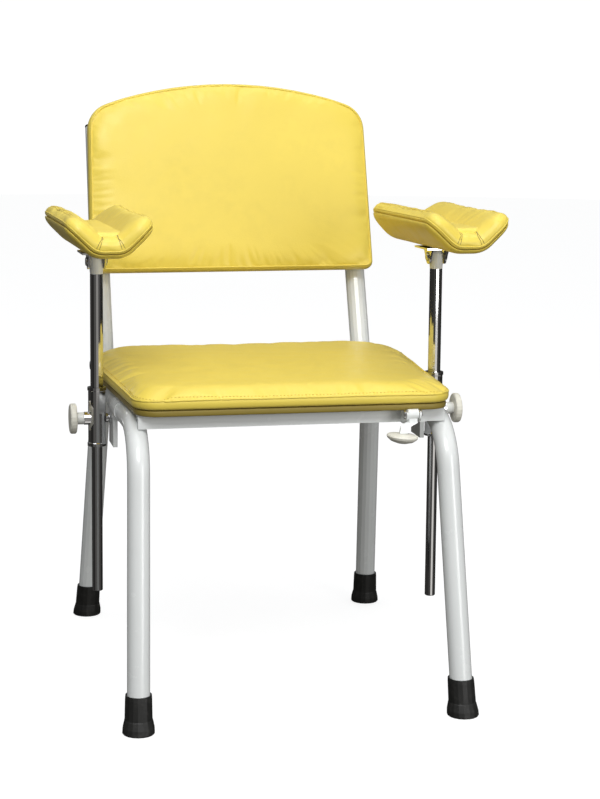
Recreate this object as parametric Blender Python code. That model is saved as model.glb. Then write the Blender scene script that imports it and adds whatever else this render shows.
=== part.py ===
"""Blood donor chair: bent tube frame, padded seat, reclining back and two padded arm troughs.

The chair faces -Y, +X is the sitter's left hand, and the floor is z = 0. Every piece is drawn
with y = 0 at the front feet, and the whole chair is then moved so that its origin is on the
floor under the middle of its overall box.
Run with: blender --background --python part.py
"""
import math

import bmesh
import bpy
from mathutils import Matrix, Vector

# ---- driving dimensions, in metres ----
GAP = 0.0003                       # clearance between pieces that touch
ORIGIN_Y = 0.3300                  # the frame's origin, behind the front feet
SIDES = 16                         # facets round a frame tube

TUBE_R = 0.016                     # frame tube, 32 mm outside
TUBE_WALL = 0.0018
FRONT_FOOT = (0.232, 0.0)          # x, y of the front feet on the floor
FRONT_LEAN = (-0.0272, 0.1913)     # x and y per metre of height
FRONT_BEND = 0.080                 # centre line radius of the bend under the seat
REAR_FOOT = (0.237, 0.598)
REAR_LEAN = (-0.0408, -0.2094)
RAIL_Z = 0.410                     # centre line of the seat rails
RAIL_END_Y = 0.517
TUBE_START_Z = 0.0125              # tube ends stand on the ferrule's floor

CROSSBAR_H = 0.0195
CROSSBAR_D = 0.020
CROSSBAR_WALL = 0.0015
FRONT_BAR_Y = 0.095
REAR_BAR_Y = 0.465

FERRULE_H = 0.052
FERRULE_BASE_R = 0.0228
FERRULE_RIM_R = 0.0186

SEAT_FRONT_Y = 0.0625
SEAT_REAR_Y = 0.508
SEAT_HALF_FRONT = 0.2270
SEAT_HALF_REAR = 0.2540
SEAT_R_FRONT = 0.035
SEAT_R_REAR = 0.090
BOARD_T = 0.009
SEAT_BOARD_Z = 0.4285              # underside of the seat board
SEAT_PAD_T = 0.025

PIVOT_Y = 0.547                    # recline axis
PIVOT_Z = 0.425
UPRIGHT_X = 0.2125
UPRIGHT_LEAN = 0.384               # y per metre of height, below the bend
BACK_LEAN = 0.280                  # the same, behind the backrest
UPRIGHT_BEND_Z = 0.566
UPRIGHT_TOP_Z = 0.800
BACK_BOTTOM_Z = 0.566
BACK_HALF_BOTTOM = 0.2332
BACK_HALF_TOP = 0.2288
BACK_SIDE_H = 0.2665               # bottom edge to the virtual top corner
BACK_ARCH = 0.0435                 # rise of the arched top edge
BACK_R_TOP = 0.045
BACK_R_BOTTOM = 0.012
BACK_PAD_T = 0.028
EAR_R = 0.0145
EAR_T = 0.003
EAR_GAP = 0.0166                   # middle of the upright to the inside of an ear
BOLT_R = 0.004
HOLE_R = BOLT_R + GAP

CRANK = 0.055                      # recline axis to the strut's pin
CRANK_ANGLE = math.radians(9.4)    # behind straight down, at rest
STRUT_FRONT = (0.150, 0.4165)      # y, z of the strut's front pin
STRUT_X = 0.167
STRUT_R = 0.0105
STRUT_LENGTH = 0.270
STRUT_ROD_R = 0.004
STRUT_EYE_R = 0.0105
STRUT_EYE_BORE = 0.0065            # slack for the arc that the crank pin makes

POST_X = 0.257
POST_Y = 0.268
POST_ROD_R = 0.008
POST_ROD_BOTTOM = {"left": 0.100, "right": 0.131}   # as each rod happens to be set
POST_ROD_TOP = 0.570
POST_TUBE_R = 0.0095
POST_TUBE_BORE = POST_ROD_R + GAP
POST_TUBE_BOTTOM = 0.424
POST_TOP = 0.606
SLEEVE_R = 0.013
SLEEVE_BOTTOM = 0.351
SLEEVE_TOP = {"left": 0.449, "right": 0.4385}    # the sitter's left sleeve is longer
SLEEVE_STEP = 0.410                # where the bore widens for the upper tube
CLAMP_Z = 0.392
PLATE_IN = 0.0085                  # the collar's plate, outwards from the rail's middle
PLATE_OUT = 0.0150
KNOB_R = 0.0225
TILT_Z = 0.6245                    # axis on which an arm trough tilts

TROUGH_FLAT = 0.021                # half width of the flat middle, on its underside
TROUGH_WING = 0.060                # width of a wing, on its underside
TROUGH_ANGLE = math.radians(44)
TROUGH_PAD_T = 0.023
TROUGH_BOARD_T = 0.007
TROUGH_FRONT = 0.177               # post to front end
TROUGH_REAR = 0.185                # post to rear end
TROUGH_CORNER = 0.030
TROUGH_Z = 0.6466                  # underside of the trough's padding
TROUGH_TILT = math.radians(2)      # front end up, at rest

LEVER_X = 0.1665
LEVER_Y = 0.058
LEVER_Z = 0.4245
LEVER_KNOB = (0.148, 0.044, 0.3935)

# A cushion's layers: scale of the outline, and height as a part of the thickness.
CROWN = ((1.0, 0.0), (1.0, 0.55), (0.985, 0.74), (0.955, 0.86), (0.86, 0.96), (0.6, 1.0))

YELLOW = (0.86, 0.72, 0.13, 1)
YELLOW_DARK = (0.50, 0.40, 0.05, 1)
WHITE = (0.84, 0.86, 0.86, 1)
CREAM = (0.80, 0.78, 0.66, 1)
CHROME = (0.62, 0.62, 0.62, 1)
STEEL = (0.45, 0.46, 0.47, 1)
BLACK = (0.02, 0.02, 0.02, 1)
PLY = (0.50, 0.36, 0.20, 1)
BRASS = (0.70, 0.52, 0.20, 1)


# ---- small tools ----
def material(name, colour, roughness, metallic=0.0):
    """One Principled material, made once and shared."""
    found = bpy.data.materials.get(name)
    if found:
        return found
    made = bpy.data.materials.new(name)
    made.use_nodes = True
    shader = made.node_tree.nodes["Principled BSDF"]
    shader.inputs["Base Color"].default_value = colour
    shader.inputs["Roughness"].default_value = roughness
    shader.inputs["Metallic"].default_value = metallic
    made.diffuse_color = colour
    return made


def vinyl():
    return material("vinyl", YELLOW, 0.45)


def powder():
    return material("powder_coat", WHITE, 0.3)


def chrome():
    return material("chrome", CHROME, 0.08, 1.0)


def steel():
    return material("zinc_steel", STEEL, 0.35, 1.0)


def plywood():
    return material("plywood", PLY, 0.7)


def add_object(name, mesh, finish, smooth=True):
    """Put a mesh in the scene, with its finish and smooth round faces."""
    thing = bpy.data.objects.new(name, mesh)
    bpy.context.scene.collection.objects.link(thing)
    thing.data.materials.append(finish)
    if smooth:
        mesh.shade_smooth()
        mesh.set_sharp_from_angle(angle=math.radians(35))
    return thing


def mesh_from(name, points, faces):
    mesh = bpy.data.meshes.new(name)
    mesh.from_pydata([tuple(p) for p in points], [], faces)
    work = bmesh.new()
    work.from_mesh(mesh)
    bmesh.ops.recalc_face_normals(work, faces=work.faces)
    work.to_mesh(mesh)
    work.free()
    return mesh


def tool(thing):
    """Mark an object as a cutter or a joined-on shape, which isn't a part."""
    thing.hide_render = True
    thing.display_type = "WIRE"
    return thing


def combine(target, other, operation):
    tool(other)
    step = target.modifiers.new(operation.lower(), "BOOLEAN")
    step.operation = operation
    step.solver = "EXACT"
    step.object = other
    return target


def cut(target, *cutters):
    for cutter in cutters:
        combine(target, cutter, "DIFFERENCE")
    return target


def weld(target, *others):
    for other in others:
        combine(target, other, "UNION")
    return target


def fillet(points, radii, steps=6):
    """A path or outline with each corner rounded by its radius; ends keep radius 0."""
    result = []
    count = len(points)
    for index, radius in enumerate(radii):
        here = Vector(points[index])
        if radius == 0:
            result.append(here)
            continue
        back = (Vector(points[index - 1]) - here).normalized()
        ahead = (Vector(points[(index + 1) % count]) - here).normalized()
        half = back.angle(ahead) / 2
        centre = here + (back + ahead).normalized() * radius / math.sin(half)
        start = here + back * radius / math.tan(half) - centre
        end = here + ahead * radius / math.tan(half) - centre
        sweep = start.angle(end)
        for step in range(steps + 1):
            part = step / steps
            weight_a = math.sin((1 - part) * sweep) / math.sin(sweep)
            weight_b = math.sin(part * sweep) / math.sin(sweep)
            result.append(centre + start * weight_a + end * weight_b)
    return result


def ring(centre, along, radius, sides, turn):
    """Points round a circle square to a direction; turn is a vector not along it."""
    across = along.cross(turn).normalized()
    up = across.cross(along).normalized()
    angles = [2 * math.pi * k / sides for k in range(sides)]
    return [centre + (across * math.cos(a) + up * math.sin(a)) * radius for a in angles]


def swept(name, path, finish, outer=TUBE_R, inner=None, sides=SIDES):
    """A round bar along a path, or an open-ended tube where an inner radius is given."""
    path = [Vector(p) for p in path]
    turn = Vector((1, 0, 0))
    if abs((path[-1] - path[0]).normalized().x) > 0.9:
        turn = Vector((0, 0, 1))
    rings = []
    for index, point in enumerate(path):
        before = path[max(index - 1, 0)]
        after = path[min(index + 1, len(path) - 1)]
        rings.append((point, (after - before).normalized()))
    points = []
    faces = []
    layers = [outer] if inner is None else [outer, inner]
    for radius in layers:
        for point, along in rings:
            points += ring(point, along, radius, sides, turn)
    total = len(rings) * sides

    def corner(layer, station, side):
        return layer * total + station * sides + side % sides

    for layer in range(len(layers)):
        for station in range(len(rings) - 1):
            for side in range(sides):
                faces.append((corner(layer, station, side), corner(layer, station, side + 1),
                              corner(layer, station + 1, side + 1), corner(layer, station + 1, side)))
    for station in (0, len(rings) - 1):
        if inner is None:
            faces.append(tuple(corner(0, station, side) for side in range(sides)))
        else:
            for side in range(sides):
                faces.append((corner(0, station, side), corner(0, station, side + 1),
                              corner(1, station, side + 1), corner(1, station, side)))
    return add_object(name, mesh_from(name, points, faces), finish)


def turned(name, profile, finish, place=Matrix(), sides=18, closed=False, shear=(0, 0)):
    """A profile of (radius, height) turned about Z; closed joins its end to its start."""
    points = []
    loops = []
    for radius, height in profile:
        count = 1 if radius == 0 else sides
        loops.append(list(range(len(points), len(points) + count)))
        for side in range(count):
            angle = 2 * math.pi * side / sides
            points.append(place @ Vector((radius * math.cos(angle) + shear[0] * height,
                                          radius * math.sin(angle) + shear[1] * height, height)))
    pairs = list(zip(loops, loops[1:]))
    if closed:
        pairs.append((loops[-1], loops[0]))
    faces = []
    for low, high in pairs:
        for side in range(sides):
            follow = (side + 1) % sides
            quad = [low[side % len(low)], low[follow % len(low)],
                    high[follow % len(high)], high[side % len(high)]]
            faces.append(tuple(dict.fromkeys(quad)))
    return add_object(name, mesh_from(name, points, faces), finish)


def along_x(x, y, z, side=1):
    """Places a turned piece with its height axis along X, outwards for either side."""
    turn = Matrix.Rotation(math.pi / 2 * side, 4, "Y")
    return Matrix.Translation((x, y, z)) @ turn


def prism(name, outline, depth, finish, place=Matrix(), smooth=True):
    """An outline of (a, b) points extruded by depth = (low, high) along its normal."""
    count = len(outline)
    points = [place @ Vector((p[0], p[1], level)) for level in depth for p in outline]
    faces = [tuple(range(count)), tuple(range(count, 2 * count))]
    for k in range(count):
        follow = (k + 1) % count
        faces.append((k, follow, count + follow, count + k))
    return add_object(name, mesh_from(name, points, faces), finish, smooth)


# Outlines drawn in the YZ plane are extruded along X.
SIDEWAYS = Matrix(((0, 0, 1, 0), (1, 0, 0, 0), (0, 1, 0, 0), (0, 0, 0, 1)))


def block(name, low, high, finish):
    outline = [(low[0], low[1]), (high[0], low[1]), (high[0], high[1]), (low[0], high[1])]
    return prism(name, outline, (low[2], high[2]), finish, smooth=False)


def peg(name, x_range, y, z, radius, sides=20):
    """A plain round bar along X, used for cutting holes and as a welded pin."""
    return turned(name, [(0, x_range[0]), (radius, x_range[0]), (radius, x_range[1]),
                         (0, x_range[1])], steel(), along_x(0, y, z), sides)


def belt(centre_a, radius_a, centre_b, radius_b, steps=10):
    """The outline round two circles, as a belt would run."""
    a = Vector(centre_a)
    b = Vector(centre_b)
    run = b - a
    base = math.atan2(run.y, run.x)
    spread = math.acos((radius_a - radius_b) / run.length)
    outline = []
    for centre, radius, start, end in ((b, radius_b, base - spread, base + spread),
                                       (a, radius_a, base + spread,
                                        base + 2 * math.pi - spread)):
        for step in range(steps + 1):
            angle = start + (end - start) * step / steps
            outline.append(centre + Vector((math.cos(angle), math.sin(angle))) * radius)
    return outline


def crowned(name, outline, base, thickness, place=Matrix()):
    """A cushion: an upright band, then the outline drawn in over a low crown."""
    layers = [(scale, base + part * thickness) for scale, part in CROWN]
    count = len(outline)
    middle = sum((Vector(p) for p in outline), Vector((0, 0))) / count
    points = []
    for scale, height in layers:
        for p in outline:
            spot = middle + (Vector(p) - middle) * scale
            points.append(place @ Vector((spot.x, spot.y, height)))
    faces = [tuple(range(count))]
    for layer in range(len(layers) - 1):
        for k in range(count):
            follow = (k + 1) % count
            low = layer * count
            faces.append((low + k, low + follow, low + count + follow, low + count + k))
    top = (len(layers) - 1) * count
    faces.append(tuple(range(top, top + count)))
    return add_object(name, mesh_from(name, points, faces), vinyl())


# ---- frame ----
def leg_point(foot, lean, side, height):
    return Vector((side * (foot[0] + lean[0] * height), foot[1] + lean[1] * height, height))


def front_leg_path(side):
    corner = leg_point(FRONT_FOOT, FRONT_LEAN, side, RAIL_Z)
    start = leg_point(FRONT_FOOT, FRONT_LEAN, side, TUBE_START_Z)
    end = Vector((corner.x, RAIL_END_Y, RAIL_Z))
    return fillet([start, corner, end], [0, FRONT_BEND, 0], steps=8)


RAIL_X = FRONT_FOOT[0] + FRONT_LEAN[0] * RAIL_Z


def rail_cutter(name, side, beyond=0.0):
    path = front_leg_path(side)
    path[-1].y += beyond
    return swept(name, path, steel(), outer=TUBE_R + GAP)


def side_frame(hand, side):
    swept(f"{hand}_front_leg_and_rail", front_leg_path(side), powder(),
          inner=TUBE_R - TUBE_WALL)


def rear_leg(hand, side):
    path = [leg_point(REAR_FOOT, REAR_LEAN, side, TUBE_START_Z),
            leg_point(REAR_FOOT, REAR_LEAN, side, RAIL_Z)]
    leg = swept(f"{hand}_rear_leg", path, powder(), inner=TUBE_R - TUBE_WALL)
    cut(leg, rail_cutter(f"{hand}_rear_leg_saddle", side, beyond=0.03))


def crossbar(name, y):
    """A rectangular tube across the frame, notched to the round rails at both ends."""
    top = SEAT_BOARD_Z - GAP
    low = (-RAIL_X, y - CROSSBAR_D / 2, top - CROSSBAR_H)
    high = (RAIL_X, y + CROSSBAR_D / 2, top)
    bar = block(name, low, high, powder())
    wall = CROSSBAR_WALL
    hollow = block(f"{name}_hollow", (low[0] - 0.01, low[1] + wall, low[2] + wall),
                   (high[0] + 0.01, high[1] - wall, high[2] - wall), powder())
    cut(bar, hollow, rail_cutter(f"{name}_notch_left", 1), rail_cutter(f"{name}_notch_right", -1))


def ferrule(name, foot, lean, side):
    """A rubber foot: a cup on the tube's end, with its base flat on the floor."""
    bore = TUBE_R + 0.0009
    profile = [(0, 0), (FERRULE_BASE_R - 0.0012, 0), (FERRULE_BASE_R, 0.0015),
               (FERRULE_BASE_R - 0.0004, 0.0085),
               (FERRULE_BASE_R - 0.0026, 0.018), (FERRULE_BASE_R - 0.0032, 0.0195),
               (FERRULE_RIM_R + 0.0004, 0.047), (FERRULE_RIM_R, FERRULE_H),
               (bore, FERRULE_H), (bore, 0.0085), (0, 0.0085)]
    place = Matrix.Translation((side * foot[0], foot[1], 0))
    turned(name, profile, material("rubber", BLACK, 0.7), place, shear=(side * lean[0], lean[1]))


def hinge_bracket(hand, side):
    """A channel on the rail's end, whose two ears hold the backrest's pivot bolt."""
    ear = EAR_T
    web = (RAIL_END_Y + GAP, RAIL_END_Y + GAP + 0.003)
    inner = UPRIGHT_X - EAR_GAP
    outer = UPRIGHT_X + EAR_GAP
    far = PIVOT_Y + EAR_R
    channel = [(inner - ear, web[0]), (RAIL_X + TUBE_R, web[0]), (RAIL_X + TUBE_R, web[1]),
               (outer + ear, web[1]), (outer + ear, far), (outer, far), (outer, web[1]),
               (inner, web[1]), (inner, far), (inner - ear, far)]
    mirrored = [(side * x, y) for x, y in channel]
    low = PIVOT_Z - EAR_R
    high = PIVOT_Z + EAR_R
    bracket = prism(f"{hand}_hinge_bracket", mirrored, (low - 0.003, high), powder(), smooth=False)
    rounded = belt((PIVOT_Y, PIVOT_Z), EAR_R, (RAIL_END_Y - 0.03, PIVOT_Z - 0.005), 0.022)
    combine(bracket, prism(f"{hand}_ear_shape", rounded, (-0.3, 0.3), steel(), SIDEWAYS),
            "INTERSECT")
    cut(bracket, peg(f"{hand}_ear_hole", (-0.3, 0.3), PIVOT_Y, PIVOT_Z, HOLE_R))


def headed_pin(name, x_low, x_high, y, z, head_r, head_t, finish, shank=BOLT_R):
    """A pin along X with a head at each end, outside the given span."""
    profile = [(0, x_low - head_t), (head_r - 0.001, x_low - head_t), (head_r, x_low - head_t / 2),
               (head_r, x_low), (shank, x_low), (shank, x_high), (head_r, x_high),
               (head_r, x_high + head_t / 2), (head_r - 0.001, x_high + head_t),
               (0, x_high + head_t)]
    return turned(name, profile, finish, along_x(0, y, z), sides=16)


def hinge_bolt(hand, side):
    reach = EAR_GAP + EAR_T + GAP
    span = sorted((side * UPRIGHT_X - reach, side * UPRIGHT_X + reach))
    headed_pin(f"{hand}_hinge_bolt", span[0], span[1], PIVOT_Y, PIVOT_Z, 0.0072, 0.0035, steel())


# ---- seat ----
def seat_outline(inset=0.0):
    front = SEAT_FRONT_Y + inset
    rear = SEAT_REAR_Y - inset
    narrow = SEAT_HALF_FRONT - inset
    wide = SEAT_HALF_REAR - inset
    corners = [(-narrow, front), (narrow, front), (wide, rear), (-wide, rear)]
    radii = [SEAT_R_FRONT - inset, SEAT_R_FRONT - inset, SEAT_R_REAR - inset, SEAT_R_REAR - inset]
    return fillet(corners, radii, steps=7)


def seat():
    prism("seat_board", seat_outline(inset=0.006), (SEAT_BOARD_Z, SEAT_BOARD_Z + BOARD_T),
          plywood())
    base = SEAT_BOARD_Z + BOARD_T + GAP
    crowned("seat_cushion", seat_outline(), base, SEAT_PAD_T)


# ---- backrest ----
BACK_SLOPE = math.atan(BACK_LEAN)


def upright_line(height, lean=UPRIGHT_LEAN):
    return PIVOT_Y + lean * (height - PIVOT_Z)


def back_place():
    """The frame of the backrest's rear face: X across, Y up along the slope, Z forwards."""
    bend_y = upright_line(UPRIGHT_BEND_Z)
    rear = bend_y - (TUBE_R + 2 * GAP) / math.cos(BACK_SLOPE)
    rear += BACK_LEAN * (BACK_BOTTOM_Z - UPRIGHT_BEND_Z)
    turn = Matrix.Rotation(math.pi / 2 - BACK_SLOPE, 4, "X")
    return Matrix.Translation((0, rear, BACK_BOTTOM_Z)) @ turn


def back_outline(inset=0.0):
    low = BACK_HALF_BOTTOM - inset
    high = BACK_HALF_TOP - inset
    side_top = BACK_SIDE_H - inset * 0.5
    arch = BACK_ARCH - inset * 0.5
    curve = (high ** 2 + arch ** 2) / (2 * arch)
    half = math.asin(high / curve)
    points = [(-low, inset), (low, inset), (high, side_top)]
    radii = [BACK_R_BOTTOM - inset * 0.5, BACK_R_BOTTOM - inset * 0.5, BACK_R_TOP - inset * 0.5]
    steps = 16
    for step in range(2, steps - 1):
        angle = half - 2 * half * step / steps
        points.append((curve * math.sin(angle), side_top + arch - curve * (1 - math.cos(angle))))
        radii.append(0)
    points.append((-high, side_top))
    radii.append(BACK_R_TOP - inset * 0.5)
    return fillet(points, radii, steps=6)


def upright_path(side):
    bend = (side * UPRIGHT_X, upright_line(UPRIGHT_BEND_Z), UPRIGHT_BEND_Z)
    top_y = bend[1] + BACK_LEAN * (UPRIGHT_TOP_Z - UPRIGHT_BEND_Z)
    start = (side * UPRIGHT_X, PIVOT_Y, PIVOT_Z)
    return fillet([start, bend, (bend[0], top_y, UPRIGHT_TOP_Z)], [0, 0.30, 0], steps=5)


def back_bolt_spots():
    return [(side, height) for side in (1, -1) for height in (0.060, 0.215)]


def back_bolt_place(side, height):
    return back_place() @ Matrix.Translation((side * UPRIGHT_X, height, 0))


def upright(hand, side):
    """A back tube with a solid round eye on the pivot at its lower end."""
    tube = swept(f"{hand}_back_upright", upright_path(side), powder(), inner=TUBE_R - TUBE_WALL)
    half = EAR_GAP - 0.0004
    weld(tube, peg(f"{hand}_eye", (side * UPRIGHT_X - half, side * UPRIGHT_X + half),
                   PIVOT_Y, PIVOT_Z, TUBE_R, sides=24))
    cut(tube, peg(f"{hand}_eye_bore", (-0.3, 0.3), PIVOT_Y, PIVOT_Z, HOLE_R))
    for index, (spot_side, height) in enumerate(back_bolt_spots()):
        if spot_side == side:
            cut(tube, turned(f"bolt_hole_{index}", [(0, -0.05), (0.0034, -0.05), (0.0034, 0.02),
                                                    (0, 0.02)],
                             steel(), back_bolt_place(side, height), sides=12))


def back_bolts():
    """Long screws through the uprights into the backrest board."""
    behind = -(2 * TUBE_R + 3 * GAP)
    for index, (side, height) in enumerate(back_bolt_spots()):
        profile = [(0, behind - 0.003), (0.004, behind - 0.0028), (0.0062, behind - 0.0012),
                   (0.0065, behind), (0.003, behind), (0.003, 0.0065), (0, 0.0065)]
        turned(f"back_bolt_{index + 1}", profile, steel(), back_bolt_place(side, height), sides=16)


def backrest():
    board = prism("back_board", back_outline(inset=0.006), (0, BOARD_T), plywood(), back_place())
    for index, (side, height) in enumerate(back_bolt_spots()):
        cut(board, turned(f"board_hole_{index}", [(0, -0.01), (0.0033, -0.01), (0.0033, 0.0072),
                                                  (0, 0.0072)],
                          steel(), back_bolt_place(side, height), sides=12))
    base = BOARD_T + GAP
    crowned("back_cushion", back_outline(), base, BACK_PAD_T, back_place())


CROSS_TUBE_R = 0.009
CROSS_TUBE = (PIVOT_Y + TUBE_R + CROSS_TUBE_R + 0.0026, PIVOT_Z + 0.002)


def crank_pin():
    return (PIVOT_Y + CRANK * math.sin(CRANK_ANGLE), PIVOT_Z - CRANK * math.cos(CRANK_ANGLE))


def back_cross_tube():
    reach = UPRIGHT_X + 0.014
    swept("back_cross_tube", [(-reach, *CROSS_TUBE), (reach, *CROSS_TUBE)], powder(),
          outer=CROSS_TUBE_R, inner=CROSS_TUBE_R - 0.0015, sides=16)


def crank_arm():
    """A plate on the cross tube whose pin drives the strut's rod."""
    outline = belt(CROSS_TUBE, CROSS_TUBE_R + 0.0045, crank_pin(), 0.0095)
    plate_x = (STRUT_X - 0.0135, STRUT_X - 0.0075)
    plate = prism("crank_arm", outline, plate_x, powder(), SIDEWAYS)
    cut(plate, peg("crank_hole", (0.1, 0.2), *CROSS_TUBE, CROSS_TUBE_R + GAP))
    weld(plate, peg("crank_pin_shape", (STRUT_X - 0.010, STRUT_X + 0.0085), *crank_pin(), BOLT_R))


# ---- recline lock ----
def strut_frame():
    """Origin on the strut's front pin, Z along the strut towards the crank pin."""
    front = Vector((STRUT_X, *STRUT_FRONT))
    run = Vector((STRUT_X, *crank_pin())) - front
    turn = Vector((0, 0, 1)).rotation_difference(run.normalized()).to_matrix().to_4x4()
    return Matrix.Translation(front) @ turn, run.length


def strut():
    place, reach = strut_frame()
    bore = STRUT_ROD_R + GAP
    end = STRUT_LENGTH + 0.016
    profile = [(0, 0.006), (0.006, 0.006), (0.006, 0.014), (STRUT_R - 0.001, 0.016),
               (STRUT_R, 0.018), (STRUT_R, end - 0.002), (STRUT_R - 0.001, end), (bore, end),
               (bore, end - 0.070), (0, end - 0.070)]
    cylinder = turned("strut_cylinder", profile, material("black_enamel", BLACK, 0.35), place,
                      sides=20)
    weld(cylinder, peg("strut_front_eye", (STRUT_X - 0.006, STRUT_X + 0.006), *STRUT_FRONT, 0.009))
    cut(cylinder, peg("strut_front_bore", (0.1, 0.2), *STRUT_FRONT, HOLE_R))

    neck = reach - STRUT_EYE_R + 0.002
    rod_profile = [(0, end - 0.030), (STRUT_ROD_R, end - 0.030), (STRUT_ROD_R, neck), (0, neck)]
    rod = turned("strut_rod", rod_profile, chrome(), place, sides=16)
    weld(rod, peg("strut_rear_eye", (STRUT_X - 0.006, STRUT_X + 0.006), *crank_pin(), STRUT_EYE_R))
    cut(rod, peg("strut_rear_bore", (0.1, 0.2), *crank_pin(), STRUT_EYE_BORE))


def strut_bracket():
    """A plate behind the front crossbar, with the pin that holds the strut's front eye."""
    face = FRONT_BAR_Y + CROSSBAR_D / 2 + GAP
    outline = belt(STRUT_FRONT, 0.0095, (face + 0.0115, STRUT_FRONT[1] + 0.0005), 0.0105)
    plate = prism("strut_bracket", outline, (STRUT_X + 0.0075, STRUT_X + 0.0115), powder(),
                  SIDEWAYS)
    foot = block("strut_bracket_foot", (STRUT_X + 0.0075, face, STRUT_FRONT[1] - 0.009),
                 (STRUT_X + 0.026, face + 0.003, SEAT_BOARD_Z - 0.002), powder())
    weld(plate, foot, peg("strut_pin_shape", (STRUT_X - 0.009, STRUT_X + 0.009), *STRUT_FRONT,
                          BOLT_R))


def lever_bracket():
    """Two lugs on the front crossbar that carry the release lever's pin."""
    face = FRONT_BAR_Y - CROSSBAR_D / 2 - GAP
    channel = [(LEVER_X - 0.0105, face), (LEVER_X - 0.0105, LEVER_Y - 0.010),
               (LEVER_X - 0.0080, LEVER_Y - 0.010), (LEVER_X - 0.0080, face - 0.0025),
               (LEVER_X + 0.0080, face - 0.0025), (LEVER_X + 0.0080, LEVER_Y - 0.010),
               (LEVER_X + 0.0105, LEVER_Y - 0.010), (LEVER_X + 0.0105, face - 0.0025),
               (LEVER_X + 0.0260, face - 0.0025), (LEVER_X + 0.0260, face)]
    low = SEAT_BOARD_Z - CROSSBAR_H - GAP
    high = SEAT_BOARD_Z - 2 * GAP
    bracket = prism("lever_bracket", channel, (low, high), powder(), smooth=False)
    lug = belt((LEVER_Y, LEVER_Z), 0.0095, (face + 0.020, LEVER_Z - 0.002), 0.024)
    combine(bracket, prism("lug_shape", lug, (0.1, 0.25), steel(), SIDEWAYS), "INTERSECT")
    cut(bracket, peg("lug_hole", (0.1, 0.25), LEVER_Y, LEVER_Z, HOLE_R))
    headed_pin("lever_pin", LEVER_X - 0.0108, LEVER_X + 0.0108, LEVER_Y, LEVER_Z, 0.0062, 0.002,
               chrome())


def release_lever():
    """A flat arm that hangs from its pin, with a mushroom knob screwed to its foot."""
    knob = Vector(LEVER_KNOB)
    top = Vector((LEVER_X, LEVER_Y, LEVER_Z))
    half = Vector((0.006, 0, 0))
    boss = 0.0075
    stations = [(top + Vector((0, -0.001, 0)), half), (top + Vector((-0.001, -0.006, -0.010)), half),
                (knob + Vector((0.004, 0.002, 0.016)), half),
                (knob + Vector((0.002, 0.0, 0.0078)), half)]
    thick = Vector((0, 0.0022, 0.0012))
    points = []
    faces = []
    for centre, reach in stations:
        points += [centre - reach - thick, centre + reach - thick,
                   centre + reach + thick, centre - reach + thick]
    for station in range(len(stations) - 1):
        base = station * 4
        for k in range(4):
            follow = (k + 1) % 4
            faces.append((base + k, base + follow, base + 4 + follow, base + 4 + k))
    last = 4 * (len(stations) - 1)
    faces += [(0, 1, 2, 3), (last, last + 1, last + 2, last + 3)]
    arm = add_object("release_lever", mesh_from("release_lever", points, faces), powder())
    weld(arm, peg("lever_boss", (LEVER_X - 0.0075, LEVER_X + 0.0075), LEVER_Y, LEVER_Z, boss))
    cut(arm, peg("lever_bore", (0.1, 0.25), LEVER_Y, LEVER_Z, HOLE_R))

    profile = [(0, -0.0075), (0.008, -0.0070), (0.016, -0.0045), (0.0212, -0.0005),
               (0.0225, 0.0025), (0.0215, 0.0045), (0.012, 0.0058), (0, 0.0060)]
    place = Matrix.Translation(knob) @ Matrix.Rotation(math.radians(5), 4, "Y")
    turned("lever_knob", profile, material("cream_plastic", CREAM, 0.4), place, sides=28)


# ---- arm rest posts and clamps ----
def rail_collar(hand, side):
    """A band round the rail with a plate hanging from it, which carries the post's sleeve."""
    band = swept(f"{hand}_rail_collar", [(side * RAIL_X, POST_Y - 0.053, RAIL_Z),
                                         (side * RAIL_X, POST_Y + 0.032, RAIL_Z)],
                 powder(), outer=TUBE_R + 0.0018, inner=TUBE_R + GAP, sides=24)
    span = sorted((side * (RAIL_X + PLATE_IN), side * (RAIL_X + PLATE_OUT)))
    plate = block(f"{hand}_collar_plate", (span[0], POST_Y - 0.025, SLEEVE_BOTTOM + 0.001),
                  (span[1], POST_Y + 0.025, RAIL_Z - 0.004), powder())
    clear = swept(f"{hand}_collar_clear", [(side * RAIL_X, POST_Y - 0.06, RAIL_Z),
                                           (side * RAIL_X, POST_Y + 0.06, RAIL_Z)],
                  powder(), outer=TUBE_R + 0.0008, sides=24)
    cut(plate, clear)
    weld(band, plate)
    cut(band, peg(f"{hand}_collar_hole", (-0.3, 0.3), POST_Y, CLAMP_Z, HOLE_R))


def stub_bolt(hand, side):
    """The bolt and nut that join the sleeve to the collar's plate."""
    near = RAIL_X + PLATE_OUT + GAP
    far = POST_X - SLEEVE_R - GAP
    profile = [(0, near - 0.0062), (BOLT_R, near - 0.0062), (BOLT_R, near), (0.0078, near),
               (0.0078, near + 0.0028), (0.0058, near + 0.0034), (0.0058, near + 0.0044),
               (0.0070, near + 0.0050), (0.0070, far), (0, far)]
    turned(f"{hand}_stub_bolt", profile, chrome(), along_x(0, POST_Y, CLAMP_Z, side), sides=18)


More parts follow.
